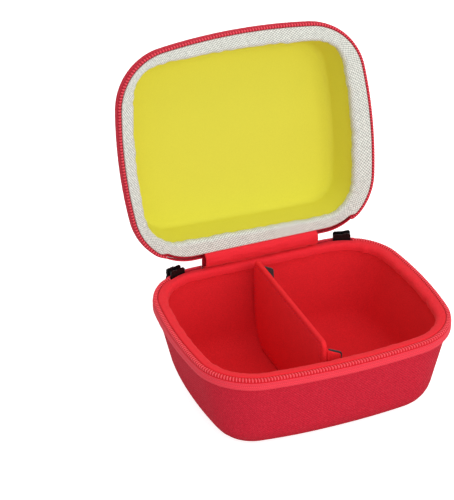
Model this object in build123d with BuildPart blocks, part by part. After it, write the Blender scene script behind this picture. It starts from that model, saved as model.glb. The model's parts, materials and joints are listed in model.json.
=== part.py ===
"""Card game carrying case: a moulded zip case that stands open, with one movable divider.

Millimetres. The origin is the middle of the flat bottom, +X is to the right,
-Y is the front where the case is unzipped, and +Z is up. Each piece of the lid is
drawn closed over the base and then turned back about the hinge line.
"""

from build123d import *
import math
import os

os.makedirs("parts", exist_ok=True)

# Outline of the case at the rim, which both halves share
rim_width = 146.0  # left to right over the zipper
rim_depth = 121.0  # front to back over the zipper
front_bow = 8.2  # how far the front bulges over the full width
side_bow = 7.6  # how far each side bulges over the full depth
front_corner = 33.0  # corner radius at the front
back_corner = 33.0  # corner radius beside the hinge

# Heights, measured from the plane where the halves meet
base_height = 52.0  # bottom of the case to the meeting plane
lid_height = 28.0  # meeting plane to the top of the closed lid
meeting_gap = 0.25  # each half stays this far from the meeting plane
wall_draft = 13.0  # degrees by which the moulded walls lean in

# Zipper band round the rim
band_thickness = 2.0  # tape and its fold, proud of the shell
band_height = 6.6  # coil and tape together
coil_height = 2.1
coil_width = 2.1
coil_round = 0.8
tail_thickness = 0.8  # bare tape between the last tooth and the hinge
tail_inset = 1.0
zipper_start = 55.0  # the coil begins this far from the middle of the back

# Rolled lip inside the zipper
lip_outer = 4.0  # inset of its outer edge, past the slider's inner plate
lip_depth = 5.0  # the shells and linings start under it, clear of the hinge's leaves
base_lip_inner = 9.5
lid_lip_inner = 13.5
lip_outer_round = 1.0
base_lip_round = 3.0
lid_lip_round = 3.2

# Base
base_wall = 4.6
base_floor = 3.6
base_bottom_round = 18.0
base_inner_round = 14.0
base_lining_wall = 1.4
base_lining_floor = 1.4
base_lining_round = 12.6
lip_under_round = 0.9

# Lid
lid_wall = 3.0
lid_top = 3.0
lid_top_round = 11.0
lid_inner_round = 7.5
tray_wall = 1.3
tray_outer_round = 7.0
tray_inner_round = 5.7

# Fabric hinge
hinge_rise = 5.4  # fold line above the meeting plane
leaf_thickness = 1.0
leaf_width = 66.0
leaf_reach = 11.0  # how far each leaf runs down its shell
leaf_gap = 0.75  # from each leaf's end to the fold line
leaf_end_round = 0.42
inner_strip_thickness = 0.6
lid_open_angle = 105.3  # degrees from closed

# Slider and pull
slider_turn = 20.0  # degrees round the back corner, from the hinge side
slider_rise = -0.3  # slider's middle above the meeting plane
slider_length = 9.6
slider_mouth = 7.6
slider_tail = 5.6
slider_channel = 2.6
plate_thickness = 0.8
plate_round = 1.2
post_length = 3.0
post_height = 2.0
post_rise = 1.7  # the post's middle above the slider's, clear of the bare tape
crown_wire = 1.2
crown_span = 6.6
crown_lift = 1.9
pull_eye_gap = 0.25
pull_eye_wall = 0.7
pull_eye_width = 4.2
pull_thickness = 1.4
pull_width = 6.4
pull_length = 20.0
pull_end_round = 2.6

# Divider
divider_x = -6.8
divider_thickness = 2.8
divider_rise = 5.5  # its top edge above the meeting plane
divider_lid_gap = 1.0  # from its ends to the opening in the closed lid
divider_top_round = 4.0
divider_bottom_round = 14.5
divider_floor_gap = 0.3
divider_wall_gap = 1.6  # so that the bow of the front wall is cleared at both ends of the travel
tab_thickness = 0.7
hook_thickness = 0.7
tab_reach = 7.6  # past the panel, to the right
tab_flange = 9.0  # sewn along the panel
tab_rise = 0.5  # above the meeting plane, where it leaves the panel
tab_drop = 4.0  # by which its top edge falls towards its end
tab_bottom = 24.0
tab_round = 2.0
hook_border = 0.5

# Sizes that follow from the ones above
lip_thickness = lip_depth - meeting_gap
base_lining_inner = band_thickness + base_wall + base_lining_wall
front_radius = ((rim_width / 2) ** 2 + front_bow**2) / (2 * front_bow)
side_radius = ((rim_depth / 2) ** 2 + side_bow**2) / (2 * side_bow)
lean = math.tan(math.radians(wall_draft))
hinge_y = rim_depth / 2 - band_thickness + leaf_thickness / 2
hinge_z = base_height + hinge_rise

panel_end = rim_depth / 2 - lid_lip_inner - divider_lid_gap
divider_top = base_height + divider_rise
tab_top = base_height + tab_rise

# Both halves are drawn on the meeting plane, and the lid turns back about the fold of the hinge
base_frame = Plane.XY.offset(base_height)
hinge_axis = Axis((0, hinge_y, hinge_z), (1, 0, 0))


def opened(closed):
    """A piece of the lid, drawn closed, turned back to where it rests."""
    with BuildPart() as turned:
        add(closed.part.rotate(hinge_axis, -lid_open_angle))
    return turned


def rim_outline(inset):
    """The rim's outline moved inward: bowed front and sides, a straight hinge side, round corners."""
    with BuildSketch(mode=Mode.PRIVATE) as outline:
        with Locations((0, front_radius - rim_depth / 2)):
            Circle(front_radius - inset)
        for side in (-1, 1):
            with Locations((side * (rim_width / 2 - side_radius), 0)):
                Circle(side_radius - inset, mode=Mode.INTERSECT)
        with Locations((0, rim_depth / 2 - inset)):
            Rectangle(2 * rim_width, 2 * rim_depth, align=(Align.CENTER, Align.MAX), mode=Mode.INTERSECT)
        corners = outline.vertices().group_by(Axis.Y)
        fillet(corners[0], front_corner - inset)
        fillet(outline.vertices().group_by(Axis.Y)[-1], back_corner - inset)
    return outline.sketch


def drafted_block(frame, up, inset, height, edge_round):
    """A solid that stands upright from under the lip to the band's edge, then leans in to a rounded end."""
    away = Axis(frame.origin, frame.z_dir * up)
    with BuildPart() as block:
        with BuildSketch(frame.offset(up * lip_depth)):
            add(rim_outline(inset))
        extrude(amount=up * (band_height - lip_depth))
        with BuildSketch(frame.offset(up * band_height)):
            add(rim_outline(inset))
        with BuildSketch(frame.offset(up * height)):
            add(rim_outline(inset + (height - band_height) * lean))
        loft(ruled=True)
        fillet(block.faces().sort_by(away)[-1].edges(), edge_round)
    return block.part


def moulded_half(frame, up, inset, wall, height, floor, outer_round, inner_round):
    """A hollow drafted moulding with rounded edges, open at the rim."""
    with BuildPart() as half:
        add(drafted_block(frame, up, inset, height, outer_round))
        add(drafted_block(frame, up, inset + wall, height - floor, inner_round), mode=Mode.SUBTRACT)
    return half


def rolled_lip(frame, up, inner, inner_round):
    """The padded lip that covers the rims of shell and lining, rounded into the case."""
    away = Axis(frame.origin, frame.z_dir * up)
    with BuildPart() as lip:
        with BuildSketch(frame.offset(up * meeting_gap)):
            add(rim_outline(lip_outer))
            add(rim_outline(inner), mode=Mode.SUBTRACT)
        extrude(amount=up * lip_thickness)
        crest = lip.faces().sort_by(away)[0]
        fillet(crest.inner_wires()[0].edges(), inner_round)
        crest = lip.faces().sort_by(away)[0]
        fillet(crest.outer_wire().edges(), lip_outer_round)
        seat = lip.faces().sort_by(away)[-1]
        fillet(seat.inner_wires()[0].edges(), lip_under_round)
    return lip


def band_ring(outer, inner, start):
    """A strip between two insets, open at the back for the hinge."""
    add(rim_outline(outer))
    add(rim_outline(inner), mode=Mode.SUBTRACT)
    with Locations((0, rim_depth / 2)):
        Rectangle(2 * start, rim_depth / 2, mode=Mode.SUBTRACT)


def zipper_tape(frame, up, tail):
    """The tape's band under the coil, and on the base the bare tail that carries the slider."""
    with BuildPart() as tape:
        with BuildSketch(frame.offset(up * (meeting_gap + coil_height))):
            band_ring(0, band_thickness, zipper_start)
        extrude(amount=up * (band_height - meeting_gap - coil_height))
        if tail:
            with BuildSketch(frame.offset(up * meeting_gap)):
                band_ring(tail_inset, tail_inset + tail_thickness, leaf_width / 2)
                with Locations((0, -rim_depth / 2)):
                    Rectangle(2 * rim_width, 1.5 * rim_depth, mode=Mode.SUBTRACT)
                for side in (-1, 1):
                    with Locations((side * zipper_start, 0)):
                        Rectangle(
                            rim_width,
                            2 * rim_depth,
                            align=(Align.MIN if side > 0 else Align.MAX, Align.CENTER),
                            mode=Mode.SUBTRACT,
                        )
            extrude(amount=up * (band_height - meeting_gap))
    return tape


def zipper_coil(frame, up):
    """The row of teeth as one rounded cord on the edge of the tape."""
    away = Axis(frame.origin, frame.z_dir * up)
    with BuildPart() as coil:
        with BuildSketch(frame.offset(up * meeting_gap)):
            band_ring(0, coil_width, zipper_start)
        extrude(amount=up * coil_height)
        fillet(coil.faces().sort_by(away)[0].edges(), coil_round)
    return coil


def hinge_leaf(frame, up, end):
    """Half of the fabric strip, from its shell to the fold line."""
    face = rim_depth / 2 - band_thickness
    low = up * leaf_reach
    drop = (leaf_reach - band_height) * lean
    with BuildPart() as leaf:
        with BuildSketch(Plane(origin=frame.origin, x_dir=frame.y_dir, z_dir=frame.x_dir)):
            with BuildLine():
                Polyline(
                    (face, end),
                    (face + leaf_thickness, end),
                    (face + leaf_thickness, up * band_height),
                    (face + leaf_thickness - drop, low),
                    (face - drop, low),
                    (face, up * band_height),
                    close=True,
                )
            make_face()
        extrude(amount=leaf_width / 2, both=True)
        tips = leaf.edges().filter_by(Axis.X).sort_by(lambda e: (e.center() - frame.origin).dot(frame.z_dir * -up))
        fillet(tips[-2:], leaf_end_round)
    return leaf


def lining_distance(z):
    """From the middle of the case to the back lining at height z, below the band."""
    return rim_depth / 2 - base_lining_inner - (base_height - band_height - z) * lean


def hung_tab(near, far, flange, border):
    """A layer that hangs beside the panel's back end, with a top edge that falls away to the right."""
    face = divider_x + divider_thickness / 2
    start = face if flange else face + tab_thickness
    end = face + tab_reach + border
    fall = tab_drop / tab_reach
    with BuildPart() as layer:
        with BuildSketch(Plane.XY.offset(tab_bottom - border)):
            with Locations((start, far)):
                Rectangle(end - start, far - near, align=(Align.MIN, Align.MAX))
            if flange:
                with Locations((start, far)):
                    Rectangle(far - near, flange, align=(Align.MIN, Align.MAX))
        extrude(amount=tab_top - tab_bottom + 2 * border)
        with BuildSketch(Plane.XZ):
            with BuildLine():
                Polyline(
                    (start, tab_bottom - border),
                    (start, tab_top + border - fall * (start - face)),
                    (end, tab_top + border - fall * (end - face)),
                    (end, tab_bottom - border),
                    close=True,
                )
            make_face()
        extrude(amount=rim_depth, both=True, mode=Mode.INTERSECT)
        outer_end = layer.faces().sort_by(Axis.X)[-1].edges().sort_by(Axis.Z)
        fillet((outer_end[0], outer_end[-1]), tab_round)
    return layer


# Base mouldings
base_shell = moulded_half(
    base_frame, -1, band_thickness, base_wall, base_height, base_floor, base_bottom_round, base_inner_round
)
base_shell.part.label = "base_shell"
export_step(base_shell.part, "parts/base_shell.step")

base_lining = moulded_half(
    base_frame,
    -1,
    band_thickness + base_wall,
    base_lining_wall,
    base_height - base_floor,
    base_lining_floor,
    base_inner_round,
    base_lining_round,
)
base_lining.part.label = "base_lining"
export_step(base_lining.part, "parts/base_lining.step")

base_lip = rolled_lip(base_frame, -1, base_lip_inner, base_lip_round)
base_lip.part.label = "base_lip"
export_step(base_lip.part, "parts/base_lip.step")

# Base half of the zipper
base_zipper_tape = zipper_tape(base_frame, -1, True)
base_zipper_tape.part.label = "base_zipper_tape"
export_step(base_zipper_tape.part, "parts/base_zipper_tape.step")

base_zipper_coil = zipper_coil(base_frame, -1)
base_zipper_coil.part.label = "base_zipper_coil"
export_step(base_zipper_coil.part, "parts/base_zipper_coil.step")

# Lid mouldings
lid_shell = opened(
    moulded_half(base_frame, 1, band_thickness, lid_wall, lid_height, lid_top, lid_top_round, lid_inner_round)
)
lid_shell.part.label = "lid_shell"
export_step(lid_shell.part, "parts/lid_shell.step")

lid_lining = opened(
    moulded_half(
        base_frame,
        1,
        lid_lip_inner - tray_wall,
        tray_wall,
        lid_height - lid_top,
        tray_wall,
        tray_outer_round,
        tray_inner_round,
    )
)
lid_lining.part.label = "lid_lining"
export_step(lid_lining.part, "parts/lid_lining.step")

lid_lip = opened(rolled_lip(base_frame, 1, lid_lip_inner, lid_lip_round))
lid_lip.part.label = "lid_lip"
export_step(lid_lip.part, "parts/lid_lip.step")

# Lid half of the zipper
lid_zipper_tape = opened(zipper_tape(base_frame, 1, False))
lid_zipper_tape.part.label = "lid_zipper_tape"
export_step(lid_zipper_tape.part, "parts/lid_zipper_tape.step")

lid_zipper_coil = opened(zipper_coil(base_frame, 1))
lid_zipper_coil.part.label = "lid_zipper_coil"
export_step(lid_zipper_coil.part, "parts/lid_zipper_coil.step")

# Fabric hinge, drawn as two leaves that meet at the fold line
hinge_strip_base = hinge_leaf(base_frame, -1, hinge_rise - leaf_gap)
hinge_strip_base.part.label = "hinge_strip_base"
export_step(hinge_strip_base.part, "parts/hinge_strip_base.step")

hinge_strip_lid = opened(hinge_leaf(base_frame, 1, hinge_rise + leaf_gap))
hinge_strip_lid.part.label = "hinge_strip_lid"
export_step(hinge_strip_lid.part, "parts/hinge_strip_lid.step")

with BuildPart() as hinge_inner_lining:
    with BuildSketch(base_frame.offset(-meeting_gap)):
        with Locations((0, rim_depth / 2 - band_thickness)):
            Rectangle(leaf_width, inner_strip_thickness, align=(Align.CENTER, Align.MAX))
    extrude(amount=hinge_rise - leaf_gap + meeting_gap - leaf_end_round)
hinge_inner_lining.part.label = "hinge_inner_lining"
export_step(hinge_inner_lining.part, "parts/hinge_inner_lining.step")

# Slider at the left end of the zipper, in a frame on the tape's middle that faces outward
corner_y = rim_depth / 2 - back_corner
corner_x = rim_width / 2 - side_radius + math.sqrt((side_radius - back_corner) ** 2 - corner_y**2)
chain_inset = tail_inset + tail_thickness / 2
turn = math.radians(slider_turn)
outward = Vector(-math.sin(turn), math.cos(turn), 0)
slider_origin = Vector(-corner_x, corner_y, base_height + slider_rise) + outward * (back_corner - chain_inset)
slider_frame = Plane(origin=slider_origin, x_dir=(-math.cos(turn), -math.sin(turn), 0), z_dir=outward)


def slider_plate(offset, amount):
    """One of the slider's two plates, wide at the mouth and narrow at the tail."""
    with BuildSketch(slider_frame.offset(offset)) as plate:
        with BuildLine():
            Polyline(
                (-slider_length / 2, -slider_tail / 2),
                (0, -slider_tail / 2),
                (slider_length / 2, -slider_mouth / 2),
                (slider_length / 2, slider_mouth / 2),
                (0, slider_tail / 2),
                (-slider_length / 2, slider_tail / 2),
                close=True,
            )
        make_face()
        fillet(plate.vertices(), plate_round)
    extrude(plate.sketch, amount=amount)


crown_height = slider_channel / 2 + plate_thickness + crown_lift
with BuildPart() as slider_left:
    slider_plate(slider_channel / 2, plate_thickness)
    slider_plate(-slider_channel / 2, -plate_thickness)
    with BuildSketch(slider_frame.offset(-slider_channel / 2)):
        with Locations((slider_length / 2 - post_length / 2 - plate_round, post_rise)):
            Ellipse(post_length / 2, post_height / 2)
    extrude(amount=slider_channel)
    with BuildLine(Plane(origin=slider_origin, x_dir=slider_frame.x_dir, z_dir=-slider_frame.y_dir)) as crown_path:
        FilletPolyline(
            (-crown_span / 2, slider_channel / 2 + plate_thickness / 2),
            (-crown_span / 2, crown_height),
            (crown_span / 2, crown_height),
            (crown_span / 2, slider_channel / 2 + plate_thickness / 2),
            radius=0.9,
        )
    with BuildSketch(Plane(origin=crown_path.line @ 0, z_dir=crown_path.line % 0)):
        Circle(crown_wire / 2)
    sweep(path=crown_path.line)
slider_left.part.label = "slider_left"
export_step(slider_left.part, "parts/slider_left.step")

with BuildPart() as slider_right:
    mirror(slider_left.part, about=Plane.YZ)
slider_right.part.label = "slider_right"
export_step(slider_right.part, "parts/slider_right.step")

# Pull that hangs from the slider's crown by a round eye
eye_inner = crown_wire / 2 + pull_eye_gap
eye_outer = eye_inner + pull_eye_wall
pull_axis_origin = slider_origin + outward * crown_height
with BuildPart() as pull_left:
    with BuildSketch(Plane(origin=pull_axis_origin, x_dir=outward, z_dir=slider_frame.x_dir)):
        Circle(eye_outer)
        Circle(eye_inner, mode=Mode.SUBTRACT)
    extrude(amount=pull_eye_width / 2, both=True)
    with BuildSketch(Plane(origin=pull_axis_origin, x_dir=slider_frame.x_dir, z_dir=outward)) as tab_face:
        with Locations((0, -eye_inner)):
            Rectangle(pull_eye_width, eye_outer, align=(Align.CENTER, Align.MAX))
        with Locations((0, -eye_outer - pull_length / 2)):
            RectangleRounded(pull_width, pull_length, pull_end_round)
    extrude(amount=pull_thickness / 2, both=True)
pull_left.part.label = "pull_left"
export_step(pull_left.part, "parts/pull_left.step")

with BuildPart() as pull_right:
    mirror(pull_left.part, about=Plane.YZ)
pull_right.part.label = "pull_right"
export_step(pull_right.part, "parts/pull_right.step")

# Divider panel, upright at its ends and cut to the lining's slope and floor below
panel_low = base_floor + base_lining_floor + divider_floor_gap
panel_foot = lining_distance(panel_low) - divider_wall_gap
panel_knee = panel_low + (panel_end - panel_foot) / lean
with BuildPart() as divider_panel:
    with BuildSketch(Plane.YZ.offset(divider_x - divider_thickness / 2)) as panel:
        with BuildLine():
            Polyline(
                (panel_end, divider_top),
                (panel_end, panel_knee),
                (panel_foot, panel_low),
                (-panel_foot, panel_low),
                (-panel_end, panel_knee),
                (-panel_end, divider_top),
                close=True,
            )
        make_face()
        fillet(panel.vertices().group_by(Axis.Y)[0], divider_bottom_round)
        fillet(panel.vertices().group_by(Axis.Y)[-1], divider_top_round)
    extrude(amount=divider_thickness)
divider_panel.part.label = "divider_panel"
export_step(divider_panel.part, "parts/divider_panel.step")

# Tabs at the panel's ends, sewn to its right face and turned along the wall, each with a stiff strip inside
tab_inner = panel_end - tab_thickness
divider_back_tab = hung_tab(tab_inner, panel_end, tab_flange, 0)
divider_back_tab.part.label = "divider_back_tab"
export_step(divider_back_tab.part, "parts/divider_back_tab.step")

divider_back_hook = hung_tab(tab_inner - hook_thickness, tab_inner, 0, hook_border)
divider_back_hook.part.label = "divider_back_hook"
export_step(divider_back_hook.part, "parts/divider_back_hook.step")

with BuildPart() as divider_front_tab:
    mirror(divider_back_tab.part, about=Plane.XZ)
divider_front_tab.part.label = "divider_front_tab"
export_step(divider_front_tab.part, "parts/divider_front_tab.step")

with BuildPart() as divider_front_hook:
    mirror(divider_back_hook.part, about=Plane.XZ)
divider_front_hook.part.label = "divider_front_hook"
export_step(divider_front_hook.part, "parts/divider_front_hook.step")
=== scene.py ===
"""Card game carrying case: the visual model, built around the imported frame.

Metres. The origin is the middle of the flat bottom, -Y is the front and +Z is up.
Everything on the lid is made for the closed case and then turned back about the hinge.
"""

import json
import math
import random

import bmesh
import bpy
import numpy as np
from bpy.props import FloatProperty, FloatVectorProperty, PointerProperty
from mathutils import Matrix, Vector, noise


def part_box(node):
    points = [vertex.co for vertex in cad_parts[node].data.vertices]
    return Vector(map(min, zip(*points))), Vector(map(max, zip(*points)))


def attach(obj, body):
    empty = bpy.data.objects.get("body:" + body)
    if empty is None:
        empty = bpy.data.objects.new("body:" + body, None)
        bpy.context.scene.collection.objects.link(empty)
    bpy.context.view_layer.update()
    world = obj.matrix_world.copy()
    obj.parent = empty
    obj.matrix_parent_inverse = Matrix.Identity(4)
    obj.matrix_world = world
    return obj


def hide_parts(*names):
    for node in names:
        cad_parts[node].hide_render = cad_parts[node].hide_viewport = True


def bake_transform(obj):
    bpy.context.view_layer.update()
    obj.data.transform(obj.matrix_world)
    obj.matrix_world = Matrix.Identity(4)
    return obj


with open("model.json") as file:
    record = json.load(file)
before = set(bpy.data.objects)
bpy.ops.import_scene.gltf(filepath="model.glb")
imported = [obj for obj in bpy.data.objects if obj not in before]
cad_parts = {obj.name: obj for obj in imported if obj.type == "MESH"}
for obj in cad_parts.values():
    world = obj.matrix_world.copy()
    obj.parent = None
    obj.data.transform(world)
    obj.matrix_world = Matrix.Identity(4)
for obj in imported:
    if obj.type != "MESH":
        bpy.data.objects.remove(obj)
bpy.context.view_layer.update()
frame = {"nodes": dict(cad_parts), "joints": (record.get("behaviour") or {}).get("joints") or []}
hinge = next(j for j in frame["joints"] if j["name"] == "lid_hinge")

bl_info = {
    "name": "Card Game Case",
    "version": (1, 0, 0),
    "blender": (4, 5, 0),
    "location": "3D View > Sidebar > Card Case",
    "description": "Builds the moulded zip case around its packed frame",
    "category": "Add Mesh",
}

MM = 0.001
HALVES = {-1: "base", 1: "lid"}  # the way that a half runs from the meeting plane, and its body
RIM_FRONT = -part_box("base_zipper_tape")[0][1]
RIM_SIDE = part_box("base_zipper_tape")[1][0]
PIVOT = Vector(hinge["pos_m"][1:])
OPEN_ANGLE = math.radians(hinge["range_deg"][1])
PIVOT_PLACE = Matrix.Translation((0, PIVOT.x, PIVOT.y))
OPENED = PIVOT_PLACE @ Matrix.Rotation(-OPEN_ANGLE, 4, "X") @ PIVOT_PLACE.inverted()


def length(name, default, description):
    """A size of the case that a user may change."""
    return FloatProperty(
        name=name, description=description, default=default, unit="LENGTH", subtype="DISTANCE"
    )


def angle(name, degrees, description):
    """An angle of the case that a user may change."""
    return FloatProperty(name=name, description=description, default=math.radians(degrees), subtype="ANGLE")


def colour(name, default, description):
    """A colour that a user may change, linear: a dye, and for some pieces painted shade as well."""
    return FloatVectorProperty(
        name=name, description=description, default=default, size=3, subtype="COLOR", min=0, max=1
    )


class CaseSizes(bpy.types.PropertyGroup):
    """Sizes of the case, which follow the frame."""

    rim_side: length("Rim half width", RIM_SIDE, "From the middle to the zipper band at each side")
    rim_front: length("Rim half depth", RIM_FRONT, "From the middle to the zipper band at the front")
    front_bow: length("Front bow", 8.2 * MM, "How far the front bulges over the full width")
    side_bow: length("Side bow", 7.6 * MM, "How far each side bulges over the full depth")
    front_corner: length("Front corner", 33 * MM, "Corner radius at the front")
    back_corner: length("Back corner", 33 * MM, "Corner radius beside the hinge")
    base_height: length("Base height", 52 * MM, "Bottom of the case to the meeting plane")
    lid_height: length("Lid height", 28 * MM, "Meeting plane to the top of the closed lid")
    wall_draft: angle("Wall draft", 13, "Lean of the moulded walls")
    band: length("Band thickness", 2 * MM, "Zipper tape and fold, proud of the shell")
    band_height: length("Band height", 6.6 * MM, "Coil and tape together")
    lip_depth: length("Lip depth", 5 * MM, "The shells and linings start under the lip")
    zipper_start: length("Zipper start", 55 * MM, "The coil begins this far from the middle of the back")
    hinge_width: length("Hinge width", 66 * MM, "Width of the fabric hinge")
    hinge_reach: length("Hinge reach", 11 * MM, "How far the hinge runs down each shell")
    base_lip_outer: length("Base lip outer edge", 2.95 * MM, "From the zipper band to the base's padded lip")
    lid_lip_outer: length("Lid lip outer edge", 2.1 * MM, "From the zipper band to the lid's padded lip")
    base_lip_inner: length("Base lip inner edge", 8.3 * MM, "From the zipper band to the base's mouth")
    lid_lip_inner: length("Lid lip inner edge", 10.7 * MM, "From the zipper band to the lid's mouth")
    panel_foot: length("Divider foot", 4.36 * MM, "How much each side of the divider draws in to the floor")
    panel_knee: length("Divider knee", 24.2 * MM, "Height at which the divider starts to narrow")
    panel_top_round: length("Divider top round", 4 * MM, "Corner radius at the divider's top")
    panel_bottom_round: length("Divider bottom round", 14.5 * MM, "Corner radius at the divider's foot")
    mouth_side: length("Mouth half width", 62.5 * MM, "From the middle to each side of the lid's mouth")
    mouth_depth: length("Mouth half depth", 49.65 * MM, "From the middle to the front of the lid's mouth")
    mouth_front_bow: length("Mouth front bow", 4.0 * MM, "How far the mouth's front bulges")
    mouth_side_bow: length("Mouth side bow", 4.7 * MM, "How far the mouth's sides bulge")
    mouth_front_corner: length("Mouth front corner", 17 * MM, "Corner radius of the mouth at the front")
    mouth_back_corner: length("Mouth back corner", 19 * MM, "Corner radius of the mouth at the back")
    mouth_left: length("Mouth offset", 1.8 * MM, "How far the hand-laid lining sits to the left")
    mouth_forward: length("Mouth forward", 0.7 * MM, "How far the hand-laid lining sits to the front")
    mouth_turn: angle("Mouth turn", 1.6, "Slight turn of the hand-laid lining")
    tooth_pitch: length("Tooth pitch", 1.6 * MM, "Spacing of the coil's teeth")
    tooth_thread: length("Tooth thread", 0.39 * MM, "Radius of the nylon that the teeth are wound from")
    stitch_pitch: length("Stitch pitch", 2.6 * MM, "Spacing of the stitches")
    stitch_thread: length("Stitch thread", 0.17 * MM, "Radius of the sewing thread")


class CaseColours(bpy.types.PropertyGroup):
    """Dye colours of the case; the lid band and the zipper beds also carry painted shade."""

    outer: colour("Outer fabric", (0.60, 0.014, 0.036), "Woven cloth on both shells")
    band: colour("Zipper band", (0.88, 0.042, 0.068), "Zipper tape of the base")
    # Lid band: darker than the base's band, partly a deeper tape colour and partly painted shade for the
    # lid's rim, which faces down and away
    lid_band: colour("Lid band", (0.60, 0.013, 0.036), "Zipper tape round the lid")
    # Zipper bed: a darker copy of the tape, painted shade for the gaps between the teeth
    bed: colour("Zipper bed", (0.66, 0.008, 0.019), "Tape and cord under the teeth")
    teeth: colour("Teeth", (0.95, 0.10, 0.13), "Nylon teeth of the zipper")
    lining: colour("Base lining", (0.74, 0.020, 0.028), "Brushed lining of the base")
    lip: colour("Base lip", (0.88, 0.026, 0.040), "Padded lip of the base")
    yellow: colour("Lid lining", (0.76, 0.715, 0.068), "Smooth lining of the lid")
    grey: colour("Lid lip", (0.70, 0.715, 0.65), "Speckled knit of the lid's lip")
    divider: colour("Divider", (0.88, 0.025, 0.034), "Cloth on the divider")


def sizes():
    """The sizes in use."""
    return bpy.context.scene.case_sizes


def colours():
    """The colours in use."""
    return bpy.context.scene.case_colours


# Outlines: points, outward normals and running length


class Outline:
    """A flat closed or open line as stations, each with a point, an outward normal and a running length."""

    def __init__(self, points, normals, closed):
        self.points = np.array(points, float)
        self.normals = np.array(normals, float)
        self.closed = closed
        gaps = np.linalg.norm(np.diff(self.points, axis=0), axis=1)
        self.runs = np.concatenate(([0.0], np.cumsum(gaps)))
        self.total = self.runs[-1]
        if closed:
            self.total += np.linalg.norm(self.points[0] - self.points[-1])

    def between(self, keep):
        """The open stretch whose points satisfy keep, starting after the first gap."""
        flags = np.array([bool(keep(p)) for p in self.points])
        start = next(i for i in range(len(flags)) if flags[i] and not flags[i - 1])
        order = [(start + i) % len(flags) for i in range(int(flags.sum()))]
        return Outline(self.points[order], self.normals[order], False)


def arc_stations(centre, radius, start, end, step, last=False):
    """Stations on an arc from one angle to another, with or without the last."""
    count = max(2, math.ceil(abs(end - start) * radius / step))
    angles = np.linspace(start, end, count + 1)[: None if last else -1]
    normals = np.stack((np.cos(angles), np.sin(angles)), axis=1)
    return np.array(centre) + radius * normals, normals


def bowed_outline(side, depth, front_bow, side_bow, front_corner, back_corner, step):
    """A bowed front and sides, round corners and a straight back, from the middle of the back."""
    front_radius = (side**2 + front_bow**2) / (2 * front_bow)
    side_radius = (depth**2 + side_bow**2) / (2 * side_bow)
    front_centre = Vector((0, front_radius - depth))
    side_centre = Vector((side - side_radius, 0))
    back_y = depth - back_corner
    back_centre = Vector((side_centre.x + math.sqrt((side_radius - back_corner) ** 2 - back_y**2), back_y))
    reach_a, reach_b = front_radius - front_corner, side_radius - front_corner
    between = side_centre - front_centre
    along = (reach_a**2 - reach_b**2 + between.length_squared) / (2 * between.length)
    across = math.sqrt(reach_a**2 - along**2)
    unit = between.normalized()
    corners = [front_centre + unit * along + Vector((unit.y, -unit.x)) * across * k for k in (1, -1)]
    corner = min(corners, key=lambda c: c.y)
    a1 = math.atan2(corner.y - front_centre.y, corner.x - front_centre.x)
    a2 = math.atan2(corner.y, corner.x - side_centre.x)
    a3 = math.atan2(back_centre.y, back_centre.x - side_centre.x)
    straight = np.linspace(back_centre.x, 0, max(2, math.ceil(back_centre.x / step)) + 1)
    back_points = np.stack((straight, np.full_like(straight, depth)), axis=1)
    runs = [
        arc_stations(front_centre, front_radius, -math.pi / 2, a1, step),
        arc_stations(corner, front_corner, a1, a2, step),
        arc_stations(side_centre, side_radius, a2, a3, step),
        arc_stations(back_centre, back_corner, a3, math.pi / 2, step),
        (back_points, np.tile((0.0, 1.0), (len(straight), 1))),
    ]
    halves = [np.concatenate(part) for part in zip(*runs)]
    points, normals = (np.concatenate((half, half[-2:0:-1] * (-1, 1))) for half in halves)
    first = int(np.argmax(points[:, 1] - 1e-3 * np.abs(points[:, 0])))
    return Outline(np.roll(points, -first, axis=0), np.roll(normals, -first, axis=0), True)


def rim_outline(step):
    """The rim, where the two halves meet."""
    s = sizes()
    return bowed_outline(
        s.rim_side, s.rim_front, s.front_bow, s.side_bow, s.front_corner, s.back_corner, step
    )


def mouth_outline(step):
    """The mouth of the lid's lining, which was laid a little off the middle."""
    s = sizes()
    bows, corners = (s.mouth_front_bow, s.mouth_side_bow), (s.mouth_front_corner, s.mouth_back_corner)
    line = bowed_outline(s.mouth_side, s.mouth_depth, *bows, *corners, step)
    cos, sin = math.cos(s.mouth_turn), math.sin(s.mouth_turn)
    turn = np.array(((cos, sin), (-sin, cos)))
    return Outline(line.points @ turn - (s.mouth_left, s.mouth_forward), line.normals @ turn, True)


def reach_to(outline, mouth):
    """How far in from each station of an outline a mouth inside it lies."""
    tiny = 1e-12
    slack = 1e-6
    sides = np.roll(mouth.points, -1, axis=0) - mouth.points
    made = []
    for point, normal in zip(outline.points, outline.normals):
        gap = mouth.points - point
        turn = normal[1] * sides[:, 0] - normal[0] * sides[:, 1]
        turn = np.where(np.abs(turn) < tiny, tiny, turn)
        reach = (gap[:, 0] * sides[:, 1] - gap[:, 1] * sides[:, 0]) / turn
        share = (gap[:, 1] * normal[0] - gap[:, 0] * normal[1]) / turn
        reach[(share < -slack) | (share > 1 + slack) | (reach <= 0)] = np.inf
        made.append(reach.min())
    return np.array(made)


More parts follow.
